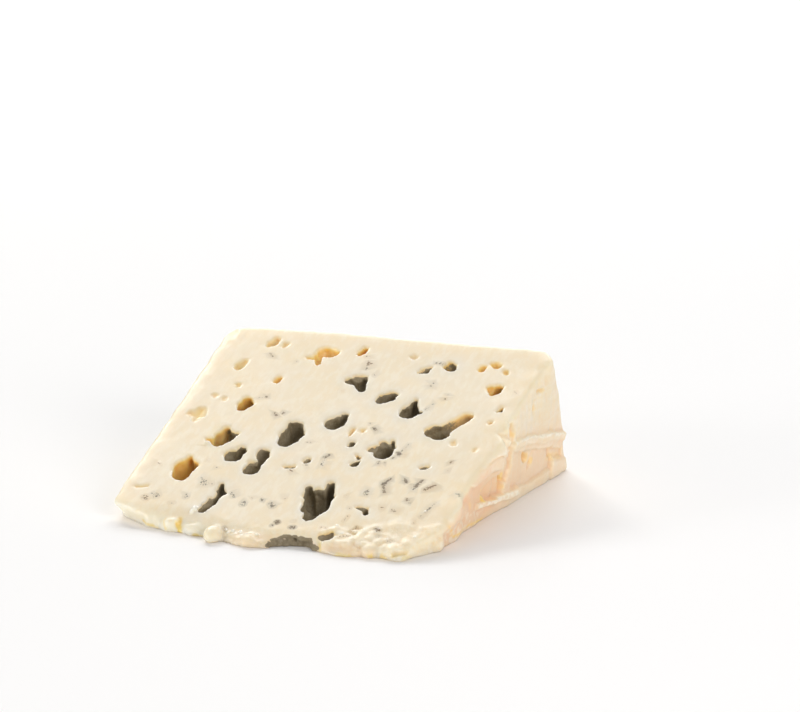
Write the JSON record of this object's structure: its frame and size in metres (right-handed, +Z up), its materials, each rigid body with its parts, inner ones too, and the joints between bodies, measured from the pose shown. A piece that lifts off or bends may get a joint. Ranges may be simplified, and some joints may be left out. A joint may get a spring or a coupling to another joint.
{
  "type": "wedge of blue cheese",
  "caption": "Thin wedge of soft ivory blue cheese lying on a cut face, with open pits lined with grey-green mould and a crumbled tip.",
  "frame": {"origin": "Centre of the bounding box in plan, at the height of the surface that the wedge rests on.", "axes": "+Z up; +Y from the thin crumbled tip towards the rind; +X along the height of the wheel, from one flat end to the other."},
  "size_m": [0.0998, 0.104, 0.0365],
  "materials": {
    "cheese_paste": "moist, soft satin ivory paste with grey-green mould in the pits"
  },
  "bodies": {
    "root": {"roquefort_wedge": "cheese_paste"}
  },
  "joints": []
}
